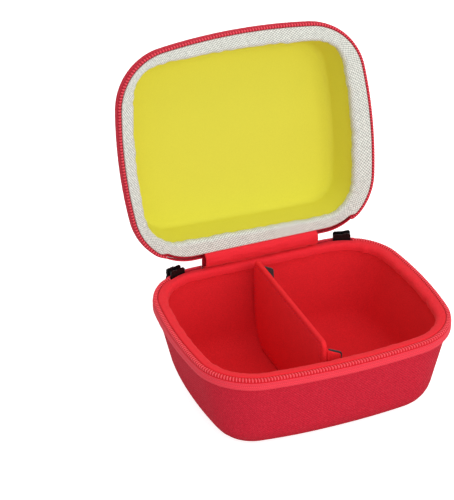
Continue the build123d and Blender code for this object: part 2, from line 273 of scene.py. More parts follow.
def rounded_polygon(corners, radii, step):
    """A polygon given counter-clockwise, with round corners."""
    places = [Vector(c) for c in corners]
    after_places = places[1:] + places[:1]
    ways = [(b - a).normalized() for a, b in zip(places, after_places)]
    before_ways = ways[-1:] + ways[:-1]
    turns = [math.atan2(a.x * b.y - a.y * b.x, a.dot(b)) for a, b in zip(before_ways, ways)]
    cuts = [radius * math.tan(abs(turn) / 2) for radius, turn in zip(radii, turns)]
    points, normals = [], []
    for i, here in enumerate(places):
        before, after = before_ways[i], ways[i]
        out = Vector((before.y, -before.x))
        start = math.atan2(out.y, out.x)
        centre = here - before * cuts[i] - out * radii[i]
        arc = arc_stations(centre, max(radii[i], 0.001 * MM), start, start + turns[i], step, True)
        points.extend(arc[0])
        normals.extend(arc[1])
        first, last = here + after * cuts[i], after_places[i] - after * cuts[(i + 1) % len(cuts)]
        pieces = max(1, math.ceil((last - first).length / step))
        points.extend(tuple(first.lerp(last, k / pieces)) for k in range(1, pieces))
        normals.extend([(after.y, -after.x)] * (pieces - 1))
    return Outline(points, normals, True)


def rectangle(left, top, right, bottom):
    """The four corners of a section."""
    return [(left, top), (right, top), (right, bottom), (left, bottom)]


def rounded_profile(corners, radii, segments=5):
    """A chain of (inset, rise) points with round corners."""
    points = []
    for i, radius in enumerate(radii):
        here = Vector(corners[i])
        if radius == 0:
            points.append(tuple(here))
            continue
        before = (here - Vector(corners[i - 1])).normalized()
        after = (Vector(corners[(i + 1) % len(corners)]) - here).normalized()
        cut = radius * math.tan(before.angle(after) / 2)
        a, b = here - before * cut, here + after * cut
        side = Vector((-before.y, before.x))
        if side.dot(after) < 0:
            side = -side
        centre = a + side * radius
        for k in range(segments + 1):
            ray = (a - centre).normalized().slerp((b - centre).normalized(), k / segments)
            points.append(tuple(centre + ray * radius))
    return points


def divided(points, step, closed):
    """The same chain with its long stretches divided."""
    made = []
    count = len(points)
    for i in range(count if closed else count - 1):
        a, b = Vector(points[i]), Vector(points[(i + 1) % count])
        pieces = max(1, math.ceil((b - a).length / step))
        made.extend(tuple(a.lerp(b, k / pieces)) for k in range(pieces))
    if not closed:
        made.append(tuple(points[-1]))
    return made


def gentle_waves(outline, size, harmonics, seed):
    """A smooth uneven line along an outline, which closes on itself."""
    draw = random.Random(seed)
    made = np.zeros_like(outline.runs)
    for n in harmonics:
        height = draw.uniform(0.5, 1)
        made += height * np.sin(2 * math.pi * n * outline.runs / outline.total + draw.uniform(0, 2 * math.pi))
    return size * made / math.sqrt(len(harmonics))


# Meshes and objects


def new_object(name, data):
    """A new object in the scene, whose data gets the same name."""
    data.name = name
    obj = bpy.data.objects.new(name, data)
    bpy.context.scene.collection.objects.link(obj)
    return obj


def mesh_from(vertices, faces, uvs):
    """A smooth mesh with one UV map in metres, its faces turned outward."""
    mesh = bpy.data.meshes.new("made")
    mesh.from_pydata([tuple(v) for v in vertices], [], faces)
    layer = mesh.uv_layers.new(name="surface")
    flat = np.array([c for face in uvs for c in face], dtype=np.float32)
    layer.data.foreach_set("uv", flat.ravel())
    mesh.polygons.foreach_set("use_smooth", np.ones(len(mesh.polygons), dtype=bool))
    mesh.update()
    work = bmesh.new()
    work.from_mesh(mesh)
    bmesh.ops.recalc_face_normals(work, faces=work.faces)
    work.to_mesh(mesh)
    work.free()
    return mesh


def upright(point, rise):
    """A place for a point at a rise from the floor."""
    return (point[0], point[1], rise)


def height_of(half):
    """A place for a point at a rise from the meeting plane, down for the base and up for the lid."""
    top = sizes().base_height
    return lambda point, rise: (point[0], point[1], top + half * rise)


def swept(outline, profile, ring=True, paired_ends=False, shift=None, place=upright):
    """A profile of (inset, rise) carried along an outline.

    A ring profile closes on itself, and an open one gets a floor at both its ends. An open
    outline is closed at each end by one face, or by pairs where the profile is a thin strip.
    """
    insets, rises = np.array(profile).T
    vertices = []
    for i, (point, normal) in enumerate(zip(outline.points, outline.normals)):
        inset, rise = shift(i, insets, rises) if shift else (insets, rises)
        vertices.extend(place(point - normal * a, b) for a, b in zip(inset, rise))
    stations, across = len(outline.points), len(profile)
    gaps = [math.dist(profile[k], profile[(k + 1) % across]) for k in range(across)]
    lengths = np.concatenate(([0.0], np.cumsum(gaps)))
    runs = np.append(outline.runs, outline.total)
    faces, uvs = [], []
    for i in range(stations if outline.closed else stations - 1):
        j = (i + 1) % stations
        for k in range(across if ring else across - 1):
            m = (k + 1) % across
            faces.append((i * across + k, j * across + k, j * across + m, i * across + m))
            uvs.append(rectangle(runs[i], lengths[k], runs[i + 1], lengths[k + 1]))
    if not outline.closed:
        ends, flat = [range(across)], [tuple(p) for p in profile]
        if paired_ends:
            ends = [(k, k + 1, across - 2 - k, across - 1 - k) for k in range(across // 2 - 1)]
            flat = [(0.0, 0.0)] * across  # the ends of a thin strip take one spot of the weave
        for first in (0, (stations - 1) * across):
            faces.extend([first + k for k in end] for end in ends)
            uvs.extend([flat[k] for k in end] for end in ends)
    elif not ring:
        for k in (0, across - 1):
            close_ring(vertices, faces, uvs, [i * across + k for i in range(stations)])
    return mesh_from(vertices, faces, uvs)


def close_ring(vertices, faces, uvs, ring):
    """Close a ring with rings drawn towards its middle and a fan."""
    shares = (0.86, 0.66, 0.42, 0.2)
    middle = np.mean([vertices[v] for v in ring], axis=0)
    count, last, made = len(ring), list(ring), []
    for share in shares:
        new = list(range(len(vertices), len(vertices) + count))
        vertices.extend(tuple(middle + (np.array(vertices[v]) - middle) * share) for v in ring)
        made.extend((last[i], last[(i + 1) % count], new[(i + 1) % count], new[i]) for i in range(count))
        last = new
    vertices.append(tuple(middle))
    made.extend((last[i], last[(i + 1) % count], len(vertices) - 1) for i in range(count))
    faces.extend(made)
    uvs.extend([tuple(vertices[v][:2]) for v in face] for face in made)


def joined(meshes):
    """Several meshes as one."""
    work = bmesh.new()
    for mesh in meshes:
        work.from_mesh(mesh)
        bpy.data.meshes.remove(mesh)
    made = bpy.data.meshes.new("made")
    work.to_mesh(made)
    work.free()
    return made


def finish_piece(name, mesh, key, body, slot, *nodes):
    """An object of a mesh, turned back where it is on the lid, with what it is made of and stands for."""
    if body == "lid":
        mesh.transform(OPENED)
    obj = new_object(name, mesh)
    mesh.materials.clear()
    mesh.materials.append(material_for(key))
    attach(obj, body)
    if nodes:
        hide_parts(*nodes)
    return obj


# Materials


class Output:
    """What a node gives, with plain arithmetic on it."""

    def __init__(self, nodes, socket):
        self.nodes = nodes
        self.socket = socket

    def __add__(self, other):
        return self.nodes.math("ADD", self, other)

    def __sub__(self, other):
        return self.nodes.math("SUBTRACT", self, other)

    def __mul__(self, other):
        return self.nodes.math("MULTIPLY", self, other)

    def sine(self):
        return self.nodes.math("SINE", self)

    def size(self):
        return self.nodes.math("ABSOLUTE", self)


class Nodes:
    """Short calls to add and link the nodes of one tree."""

    def __init__(self, tree):
        self.tree = tree

    def add(self, kind, settings=None, **inputs):
        """A node with its inputs given by name, or by place as _0 and so on."""
        node = self.tree.nodes.new(kind)
        for key, value in (settings or {}).items():
            setattr(node, key, value)
        for key, value in inputs.items():
            socket = node.inputs[int(key[1:]) if key[0] == "_" else key.replace("_", " ")]
            value = getattr(value, "socket", value)
            if isinstance(value, bpy.types.NodeSocket):
                self.tree.links.new(value, socket)
            else:
                socket.default_value = value
        return node

    def get(self, kind, settings=None, which=0, **inputs):
        """What a new node gives."""
        return Output(self, self.add(kind, settings, **inputs).outputs[which])

    def math(self, operation, a, b=0.0):
        return self.get("ShaderNodeMath", {"operation": operation}, _0=a, _1=b)

    def mix(self, factor, a, b):
        return self.get("ShaderNodeMix", {"data_type": "RGBA"}, 2, _0=factor, _6=a, _7=b)

    def levels(self, value, low, high, out_low=0.0, out_high=1.0):
        limits = {"From_Min": low, "From_Max": high, "To_Min": out_low, "To_Max": out_high}
        return self.get("ShaderNodeMapRange", Value=value, **limits)

    def by_ray(self, rays, plain, seen, output):
        """Show one shader to the named rays and the plain one to all others."""
        path = self.add("ShaderNodeLightPath")
        is_seen, *others = [path.outputs[f"Is {ray} Ray"] for ray in rays]
        for other in others:
            is_seen = self.math("MAXIMUM", is_seen, other)
        self.add(output, _0=self.get("ShaderNodeMixShader", _0=is_seen, _1=plain, _2=seen))


def emptied(owner):
    """The node tree of a material or world, with nothing in it."""
    owner.use_nodes = True
    owner.node_tree.nodes.clear()
    return owner.node_tree


class Surface(Nodes):
    """A new material, made from patterns in the object's own coordinates and the piece's UV map."""

    def __init__(self, name):
        self.material = bpy.data.materials.new(name)
        super().__init__(emptied(self.material))
        self.place = self.add("ShaderNodeTexCoord").outputs["Object"]

    def uv(self):
        """The two running lengths over the piece, in metres."""
        split = self.add("ShaderNodeSeparateXYZ", Vector=self.get("ShaderNodeUVMap", {"uv_map": "surface"}))
        return Output(self, split.outputs[0]), Output(self, split.outputs[1])

    def noise(self, scale, detail=3.0, roughness=0.5):
        return self.get(
            "ShaderNodeTexNoise", Vector=self.place, Scale=scale, Detail=detail, Roughness=roughness
        )

    def tones(self, value, low, high, rgb, dark, light):
        """A darker to a lighter colour as a value rises from low to high."""
        return self.mix(self.levels(value, low, high), shade(rgb, dark), shade(rgb, light))

    def finish(self, tone, height, strength, distance, roughness, sheen=0.0, **more):
        """Link the pattern to the shader and set what is the same all over."""
        bump = self.get("ShaderNodeBump", Strength=strength, Distance=distance, Height=height)
        given = {"Base_Color": tone, "Normal": bump, "Roughness": roughness, "Sheen_Weight": sheen, **more}
        shader = self.get("ShaderNodeBsdfPrincipled", Sheen_Roughness=0.45, **given)
        self.add("ShaderNodeOutputMaterial", _0=shader)
        return self.material


def shade(rgb, factor):
    """A colour made darker or lighter, with full opacity."""
    return tuple(min(1.0, c * factor) for c in rgb) + (1.0,)


def pale(rgb):
    """The colour of worn thread ends, lighter and less full."""
    return tuple(min(1.0, 1.25 * c + 0.035) for c in rgb) + (1.0,)


def twill_material(name, rgb, rib, contrast, rib_share=0.5):
    """Woven polyester as on moulded cases: steep diagonal ribs, made of threads that cross them."""
    cloth = Surface(name)
    u, v = cloth.uv()
    sway = cloth.levels(cloth.noise(90.0, 2.0), 0, 1, -0.25 * rib, 0.25 * rib)
    turn = 2 * math.pi / rib
    ribs = ((u + v + sway) * (turn * 0.7071)).sine()
    threads = ((u - v + sway) * (turn * 1.15)).sine()
    woven = ribs * (rib_share * 0.5) + threads * ((1 - rib_share) * 0.5)
    grain, fuzz = cloth.noise(1.5 / rib, 3.0, 0.62), cloth.noise(2600.0, 3.0, 0.6)
    height = woven * 0.7 + grain * 1.1 + fuzz * 0.35
    tone = cloth.tones(height, 0.35, 1.1, rgb, 1 - contrast, 1 + contrast)
    knots = cloth.levels(cloth.noise(1.25 / rib, 2.0, 0.7), 0.56, 0.72)
    tone = cloth.mix(knots * 0.55, tone, pale(rgb))
    broad = cloth.levels(cloth.noise(34.0), 0.35, 0.65)
    tone = cloth.mix(broad * 0.12, tone, shade(rgb, 0.8))
    matt = cloth.levels(height, 0.3, 1.1, 0.85, 0.65)
    return cloth.finish(tone, height, 0.6, 0.0003, matt, Specular_IOR_Level=0.12)


def jersey_material(name, rgb, pitch, contrast, sheen, weave=0.16, speckle=0.0, fleck=None):
    """Fine knit: slanted rows of small loops, with optional flecks."""
    cloth = Surface(name)
    u, v = cloth.uv()
    sway = cloth.levels(cloth.noise(140.0, 2.0), 0, 1, -0.3 * pitch, 0.3 * pitch)
    turn = 2 * math.pi / pitch
    rows = ((u + v + sway) * (turn * 0.7071)).sine()
    loops = ((u - v * 1.7) * (turn * 0.55)).sine()
    height = (rows + loops) * weave + cloth.noise(1.0 / pitch, 3.0, 0.65)
    broad = cloth.levels(cloth.noise(42.0), 0.3, 0.7)
    tone = cloth.tones(height, 0.15, 0.85, rgb, 1 - contrast, 1 + contrast * 0.6)
    tone = cloth.mix(broad * 0.10, tone, shade(rgb, 0.86))
    if speckle:
        spots = cloth.levels(cloth.noise(1150.0, 2.0, 0.7), 0.55, 0.68)
        light = cloth.levels(cloth.noise(900.0, 2.0, 0.7), 0.56, 0.70)
        tone = cloth.mix(spots * speckle, tone, fleck)
        tone = cloth.mix(light * (speckle * 0.8), tone, shade(rgb, 1.42))
    return cloth.finish(tone, height, 0.35, 0.0002, 0.85, sheen, Specular_IOR_Level=0.12)


def brushed_material(name, rgb, sheen):
    """Short brushed pile, which takes hook strips."""
    cloth = Surface(name)
    pile, lay = cloth.noise(1900.0, 5.0, 0.7), cloth.noise(120.0, 3.0, 0.6)
    tone = cloth.tones(pile, 0.3, 0.7, rgb, 0.82, 1.18)
    tone = cloth.mix(cloth.levels(lay, 0.35, 0.7, 0, 0.22), tone, shade(rgb, 0.8))
    more = {"Sheen_Tint": shade(rgb, 1.6), "Specular_IOR_Level": 0.08}
    return cloth.finish(tone, pile + lay * 0.35, 0.4, 0.00022, 0.9, sheen, **more)


def ribbon_material(name, rgb, pitch, contrast):
    """Woven tape: ribs that run along the piece, crossed by fine picks."""
    tape = Surface(name)
    u, v = tape.uv()
    slant = (v * (math.pi / (2.4 * pitch))).sine() * (pitch * 0.9)
    ribs = (v * (math.pi / pitch)).sine().size()
    picks = ((u + slant) * (math.pi / pitch)).sine().size()
    height = (ribs + picks) * 0.4 + tape.noise(2400.0, 3.0, 0.6) * 0.4
    broad = tape.levels(tape.noise(50.0), 0.3, 0.7, 0, 0.14)
    tone = tape.tones(height, 0.1, 1.0, rgb, 1 - contrast, 1 + contrast * 0.6)
    tone = tape.mix(broad, tone, shade(rgb, 0.85))
    return tape.finish(tone, height, 0.35, 0.00012, 0.55, 0.05, Specular_IOR_Level=0.15)


def nylon_material(name, rgb):
    """Moulded nylon: smooth, slightly glossy and a little uneven."""
    nylon = Surface(name)
    fine = nylon.noise(900.0)
    tone = nylon.tones(fine, 0.3, 0.7, rgb, 0.9, 1.08)
    gloss = nylon.levels(fine, 0.3, 0.7, 0.44, 0.56)
    return nylon.finish(tone, fine, 0.12, 0.00008, gloss, Specular_IOR_Level=0.14)


def hook_material(name):
    """Black hook strip: a field of tiny stiff loops."""
    strip = Surface(name)
    dots = strip.get("ShaderNodeTexVoronoi", {"feature": "F1"}, Vector=strip.place, Scale=1500.0)
    tone = strip.mix(strip.levels(dots, 0.1, 0.7), (0.03, 0.03, 0.032, 1), (0.006, 0.006, 0.007, 1))
    return strip.finish(tone, strip.math("SUBTRACT", 1.0, dots), 0.8, 0.0003, 0.6, 0.2)


def painted_metal(name):
    """Black enamel on die-cast metal, with light wear."""
    metal = Surface(name)
    fine = metal.noise(700.0, 4.0, 0.6)
    worn = metal.levels(metal.noise(260.0, 4.0, 0.7), 0.62, 0.74, 0, 0.5)
    tone = metal.mix(worn, (0.012, 0.012, 0.013, 1), (0.05, 0.048, 0.045, 1))
    return metal.finish(tone, fine, 0.08, 0.0001, metal.levels(fine, 0.3, 0.7, 0.26, 0.4), Metallic=0.6)


def rubber_material(name):
    """Soft black rubber with a fine matt grain."""
    rubber = Surface(name)
    fine = rubber.noise(1500.0, 3.0, 0.6)
    tone = rubber.mix(fine, (0.012, 0.012, 0.013, 1), (0.028, 0.027, 0.028, 1))
    return rubber.finish(tone, fine, 0.3, 0.00012, rubber.levels(fine, 0.3, 0.7, 0.5, 0.7))


made_materials = {}


def material_for(key):
    """Each material, made once when it is first asked for."""
    if key not in made_materials:
        c = colours()
        grey_fleck = (0.33, 0.34, 0.31, 1)
        recipes = {
            "outer": (twill_material, "outer_twill", c.outer, 1.15 * MM, 0.34, 0.35),
            "hinge": (twill_material, "hinge_twill", c.outer, 0.9 * MM, 0.26),
            "base_band": (ribbon_material, "zipper_ribbon", c.band, 1.0 * MM, 0.42),
            # The lid's tape is a darker copy of the ribbon, partly a deeper colour and partly painted shade
            "lid_band": (ribbon_material, "zipper_ribbon_deep", c.lid_band, 1.0 * MM, 0.42),
            # Each bed is darker than its band, as painted shade between the teeth; the lid's bed also carries
            # the lid band's painted shade
            "base_bed": (ribbon_material, "zipper_bed", c.bed, 0.5 * MM, 0.15),
            "lid_bed": (ribbon_material, "zipper_bed_deep", shade(c.lid_band, 0.8)[:3], 0.5 * MM, 0.15),
            "teeth": (nylon_material, "zipper_nylon", c.teeth),
            "thread": (nylon_material, "sewing_thread", shade(c.outer, 1.15)[:3]),
            "lip": (jersey_material, "base_lip_jersey", c.lip, 0.6 * MM, 0.16, 0.06),
            "lining": (brushed_material, "base_brushed_lining", c.lining, 0.35),
            "yellow": (jersey_material, "lid_smooth_lining", c.yellow, 0.6 * MM, 0.06, 0.02),
            "grey": (
                jersey_material, "lid_speckled_knit", c.grey, 1.2 * MM, 0.42, 0.03, 0.3, 0.45, grey_fleck
            ),
            "divider": (brushed_material, "divider_brushed_cloth", c.divider, 0.12),
            "hook": (hook_material, "black_hook_strip"),
            "metal": (painted_metal, "black_enamel"),
            "rubber": (rubber_material, "black_rubber"),
        }
        make, *given = recipes[key]
        made_materials[key] = make(*given)
    return made_materials[key]


# Mouldings


def moulding(half, inset, wall, height, floor, rounds, wave=0.0, seed=0, outline=None):
    """A hollow drafted moulding with soft unevenness in its walls. rounds are outside and inside."""
    s = sizes()
    outline = outline or rim_outline(1.6 * MM)
    lean = math.tan(s.wall_draft)
    inner, under = height - floor, s.lip_depth
    calm, fade_in, fade_out = 9 * MM, 14 * MM, 6 * MM  # where the waves start, grow and die away

    def foot(start, end):
        return start + (end - s.band_height) * lean

    corners = [
        (foot(inset, height) + rounds[0], height),
        (foot(inset, height), height),
        (inset, s.band_height),
        (inset, under),
        (inset + wall, under),
        (inset + wall, s.band_height),
        (foot(inset + wall, inner), inner),
        (foot(inset + wall, inner) + rounds[1], inner),
    ]
    radii = [0, rounds[0], 0, 0.3 * MM, 0.3 * MM, 0, rounds[1], 0]
    profile = divided(rounded_profile(corners, radii, 8), 3.0 * MM, False)
    rises = np.array([p[1] for p in profile])
    fade = np.clip((rises - calm) / fade_in, 0, 1) * np.clip((height - rises) / fade_out, 0, 1)
    waves = gentle_waves(outline, wave, (3, 5, 8, 11), seed)

    def shift(i, insets, rises):
        return insets + waves[i] * fade, rises

    return swept(outline, profile, False, shift=shift, place=height_of(half))


def slider_room(outline, room):
    """How much further in a lip starts beside the hinge, where the sliders are parked."""
    side, fade = 59 * MM, 4 * MM
    near = np.clip((side - np.abs(outline.points[:, 0])) / fade, 0, 1)
    return room * np.where(outline.points[:, 1] > 0, near * near * (3 - 2 * near), 0)


def lip(half, outer, inner, inner_round, seed, mouth=None):
    """The padded lip, rolled over the rim. Its inner edge is uneven, and may follow a mouth of its own."""
    top, depth, rounding, parked_start = 0.25 * MM, sizes().lip_depth, 0.9 * MM, 4.0 * MM
    edge_wave, puff_height, crest_reach = 0.3 * MM, 0.21 * MM, 2 * MM
    outline = rim_outline(1.1 * MM)
    radii = [rounding, inner_round, rounding, 0.2 * MM]
    profile = divided(rounded_profile(rectangle(outer, top, inner, depth), radii, 7), 0.8 * MM, True)
    edge = gentle_waves(outline, edge_wave, (17, 23, 31, 44, 57, 71), seed)
    puff = gentle_waves(outline, puff_height, (29, 37, 52, 68), seed + 1)
    room = slider_room(outline, parked_start - outer)
    reach = np.zeros_like(edge) if mouth is None else reach_to(outline, mouth) - inner

    def shift(i, insets, rises):
        share = (insets - outer) / (inner - outer)
        near = np.clip(share, 0, 1) ** 2
        crest = np.clip(1 - (rises - top) / crest_reach, 0, 1) * np.clip((insets - outer) / crest_reach, 0, 1)
        moved = insets + edge[i] * near + reach[i] * share + room[i] * (1 - share)
        return moved, rises + np.abs(puff[i]) * crest

    return swept(outline, profile, shift=shift, place=height_of(half))


# Zipper

EASE_REACH = 6 * MM  # over this last stretch, coil and band draw in towards the bare tails
EASE_DEPTH = 0.75 * MM
TOOTH_START = 0.2 * MM
TOOTH_RISE = 1.30 * MM
TOOTH_HEIGHT = 1.25 * MM


def zipper_span(step):
    """The stretch of the rim that carries the zipper."""
    start = sizes().zipper_start
    return rim_outline(step).between(lambda p: not (p[1] > 0 and abs(p[0]) < start))


def end_ease(outline):
    """A share at each station, which rises from 0 to 1 towards both ends of an open outline."""
    left = np.minimum(outline.runs, outline.total - outline.runs)
    return np.clip(1 - left / EASE_REACH, 0, 1) ** 2


def tooth_width(half):
    """The width of the teeth, which fill the groove outside each lip."""
    play = 0.35 * MM
    return (sizes().base_lip_outer if half < 0 else sizes().lid_lip_outer) - play


def band(half, seed):
    """The folded tape under the coil, softly puckered by its seam, and its two bare tails."""
    s = sizes()
    outline = zipper_span(0.9 * MM)
    top, low, rounding, skin = 2.35 * MM, s.band_height, 0.5 * MM, 1.2 * MM
    fold_rise, fold_width, fold_depth, end_draw = 4.1 * MM, 0.4 * MM, 0.32 * MM, 0.95 * MM
    rounded = rounded_profile(rectangle(0, top, s.band, low), [rounding, 0, 0, rounding])
    pucker = gentle_waves(outline, 0.09 * MM, (31, 43, 59, 83, 131), seed)
    ease = end_ease(outline)

    def shift(i, insets, rises):
        outer = np.clip(1 - insets / skin, 0, 1)
        crease = np.exp(-(((rises - fold_rise) / fold_width) ** 2)) * fold_depth
        share = np.clip((rises - top) / (low - top), 0, 1)
        thin = ease[i] * end_draw * np.clip(1 - insets / s.band, 0, 1)
        return insets + thin + outer * (crease + np.abs(pucker[i]) * share) * (1 - ease[i]), rises

    profile = divided(rounded, 0.4 * MM, True)
    main = swept(outline, profile, shift=shift, place=height_of(half))
    return joined([main, tail_mesh(half, 1), tail_mesh(half, -1)])


def tail_mesh(half, side):
    """The bare tape that runs on to the hinge and, on the base, carries the slider."""
    s = sizes()
    overlap = 1.5 * MM
    near, far = s.hinge_width / 2, s.zipper_start + overlap
    outline = rim_outline(1.0 * MM).between(lambda p: p[1] > 0 and near <= side * p[0] <= far)
    top = 0.25 * MM if half < 0 else 2.6 * MM
    outer, inner, rounding = 1.0 * MM, 1.8 * MM, 0.3 * MM
    corners = rectangle(outer, top, inner, s.band_height)
    profile = divided(rounded_profile(corners, [rounding] * 4, 3), 0.6 * MM, True)
    return swept(outline, profile, place=height_of(half))


def coil_bed(half):
    """The cord inside the coil and the tape that it is sewn to, coloured darker as painted shade between the
    teeth.
    """
    outline = zipper_span(1.2 * MM)
    ease = end_ease(outline) * EASE_DEPTH
    tape_end = 4.2 * MM
    cord = (0.45 * MM, 0.55 * MM, tooth_width(half) - 0.05 * MM, 1.95 * MM)
    tape = (0.3 * MM, 1.75 * MM, tape_end, 2.45 * MM)

    def shift(i, insets, rises):
        return insets + ease[i] * np.clip(1 - insets / tape_end, 0, 1), rises

    made = []
    for section, radius in ((cord, 0.5 * MM), (tape, 0.15 * MM)):
        profile = rounded_profile(rectangle(*section), [radius] * 4, 3)
        made.append(swept(outline, profile, shift=shift, place=height_of(half)))
    return joined(made)


def coil(half):
    """The teeth along the zipper."""
    s = sizes()
    outline = zipper_span(0.8 * MM)
    wide = tooth_width(half)
    insets = TOOTH_START + wide / 2 + EASE_DEPTH * end_ease(outline)
    inner = outline.points - outline.normals * insets[:, None]
    size = (s.tooth_pitch, wide - 2 * s.tooth_thread, TOOTH_HEIGHT, s.tooth_thread)
    lean = (math.radians(12) * half, math.radians(3))
    return repeated([height_of(half)(p, TOOTH_RISE) for p in inner], "teeth", (*size, *lean), "teeth")


# Repeats along a path, by Geometry Nodes


NUMBERS = ("Spacing", "Width", "Height", "Thread", "Slant", "Unevenness")


def repeat_tree(name, shape):
    """A node tree that sets one shape at an even spacing along a path. shape adds the nodes that draw it."""
    tree = bpy.data.node_groups.new(name, "GeometryNodeTree")
    kinds = {"Path": "Geometry", **dict.fromkeys(NUMBERS, "Float"), "Material": "Material"}
    for title, kind in kinds.items():
        tree.interface.new_socket(name=title, in_out="INPUT", socket_type=f"NodeSocket{kind}")
    tree.interface.new_socket(name="Geometry", in_out="OUTPUT", socket_type="NodeSocketGeometry")
    nodes = Nodes(tree)
    given = {o.name: Output(nodes, o) for o in nodes.add("NodeGroupInput").outputs}
    curve = nodes.get("GeometryNodeMeshToCurve", Mesh=given["Path"])
    curve = nodes.get("GeometryNodeSetCurveNormal", {"mode": "Z_UP"}, Curve=curve)
    points = nodes.add("GeometryNodeCurveToPoints", {"mode": "LENGTH"}, Curve=curve, Length=given["Spacing"])
    low, high = given["Slant"] - given["Unevenness"], given["Slant"] + given["Unevenness"]
    lean = nodes.get("FunctionNodeRandomValue", {"data_type": "FLOAT"}, 1, _2=low, _3=high, Seed=7)
    turn = nodes.get("FunctionNodeEulerToRotation", Euler=nodes.get("ShaderNodeCombineXYZ", Y=lean))
    ways = {"Rotation": points.outputs["Rotation"], "Rotate_By": turn}
    rotation = nodes.get("FunctionNodeRotateRotation", {"rotation_space": "LOCAL"}, **ways)
    places = {"Points": points.outputs["Points"], "Rotation": rotation}
    placed = nodes.get("GeometryNodeInstanceOnPoints", Instance=shape(nodes, given), **places)
    real = nodes.get("GeometryNodeRealizeInstances", Geometry=placed)
    real = nodes.get("GeometryNodeSetShadeSmooth", Geometry=real)
    real = nodes.get("GeometryNodeSetMaterial", Geometry=real, Material=given["Material"])
    nodes.add("NodeGroupOutput", _0=real)
    return tree


def wire_along(nodes, curve, radius, resolution, **more):
    """A thread of some radius along a curve."""
    wire = nodes.get(
        "GeometryNodeCurvePrimitiveCircle", {"mode": "RADIUS"}, Resolution=resolution, Radius=radius
    )
    return nodes.get("GeometryNodeCurveToMesh", Curve=curve, Profile_Curve=wire, **more)


def tooth_shape(nodes, given):
    """One turn of the coil: a rounded loop of nylon across the chain."""
    sides = {"Width": given["Width"], "Height": given["Height"]}
    loop = nodes.get("GeometryNodeCurvePrimitiveQuadrilateral", **sides)
    rounding = {"Count": 2, "Radius": given["Height"] * 0.36, "Limit_Radius": True}
    loop = nodes.get("GeometryNodeFilletCurve", {"mode": "POLY"}, Curve=loop, **rounding)
    return wire_along(nodes, loop, given["Thread"], 6)


def stitch_shape(nodes, given):
    """One stitch: a short thread that rises from the cloth and dips at its ends."""
    start, end = (nodes.get("ShaderNodeCombineXYZ", Z=given["Width"] * k) for k in (-0.5, 0.5))
    crest = nodes.get("ShaderNodeCombineXYZ", X=given["Height"])
    ends = {"Start": start, "Middle": crest, "End": end}
    line = nodes.get("GeometryNodeCurveQuadraticBezier", Resolution=4, **ends)
    return wire_along(nodes, line, given["Thread"], 5, Fill_Caps=True)


SHAPES = {"teeth": tooth_shape, "stitches": stitch_shape}
trees = {}


def repeated(points, kind, values, key, closed=False):
    """A plain mesh of one shape repeated along a path, with values for the tree's NUMBERS."""
    if kind not in trees:
        trees[kind] = repeat_tree(kind, SHAPES[kind])
    edges = [(i, i + 1) for i in range(len(points) - 1)]
    if closed:
        edges.append((len(points) - 1, 0))
    line = bpy.data.meshes.new("path")
    line.from_pydata([tuple(p) for p in points], edges, [])
    path = new_object("path", line)
    modifier = path.modifiers.new("repeat", "NODES")
    modifier.node_group = trees[kind]
    given = dict(zip(NUMBERS, values), Material=material_for(key))
    for item in trees[kind].interface.items_tree:
        if item.in_out == "INPUT" and item.name in given:
            modifier[item.identifier] = given[item.name]
    mesh = bpy.data.meshes.new_from_object(path.evaluated_get(bpy.context.evaluated_depsgraph_get()))
    path.modifiers.remove(modifier)
    bpy.data.objects.remove(path)
    bpy.data.meshes.remove(line)
    if not len(mesh.polygons):
        raise RuntimeError(f"{kind}: nothing was made along the path")
    return mesh


def stitch_row(name, points, body, slot, share, height, slant=0.0, closed=False):
    """A row of stitches along a path. Each takes up a share of the pitch."""
    s = sizes()
    values = (s.stitch_pitch, s.stitch_pitch * share, height, s.stitch_thread, slant, math.radians(4))
    row = repeated(points, "stitches", values, "thread", closed)
    return finish_piece(name, row, "thread", body, slot)


# Operators


class CASE_OT_base_mouldings(bpy.types.Operator):
    """Build the base shell and its lining"""

    bl_idname = "card_case.base_mouldings"
    bl_label = "Base shell and lining"

    def execute(self, context):
        s = sizes()
        wall, floor, lining_wall, seam = 4.6 * MM, 3.6 * MM, 1.38 * MM, 0.02 * MM
        shell = moulding(-1, s.band, wall, s.base_height, floor, (18 * MM, 14 * MM), 0.16 * MM, 3)
        finish_piece("base_shell_cloth", shell, "outer", "base", "outer_fabric", "base_shell")
        inset, height = s.band + wall + seam, s.base_height - floor - seam
        lining = moulding(-1, inset, lining_wall, height, lining_wall, (14 * MM, 12.6 * MM))
        finish_piece("base_lining_cloth", lining, "lining", "base", "red_lining", "base_lining")
        return {"FINISHED"}


class CASE_OT_lid_mouldings(bpy.types.Operator):
    """Build the lid shell and its lining"""

    bl_idname = "card_case.lid_mouldings"
    bl_label = "Lid shell and lining"

    def execute(self, context):
        s = sizes()
        wall, lining_wall, seam = 3.0 * MM, 1.3 * MM, 0.02 * MM
        shell = moulding(1, s.band, wall, s.lid_height, wall, (11 * MM, 7.5 * MM), 0.14 * MM, 11)
        finish_piece("lid_shell_cloth", shell, "outer", "lid", "outer_fabric", "lid_shell")
        under_lip, height = -1.5 * MM, s.lid_height - wall - seam
        look = ((4.8 * MM, 3.5 * MM), 0.12 * MM, 13, mouth_outline(1.3 * MM))
        lining = moulding(1, under_lip, lining_wall, height, lining_wall, *look)
        finish_piece("lid_lining_cloth", lining, "yellow", "lid", "yellow_lining", "lid_lining")
        return {"FINISHED"}


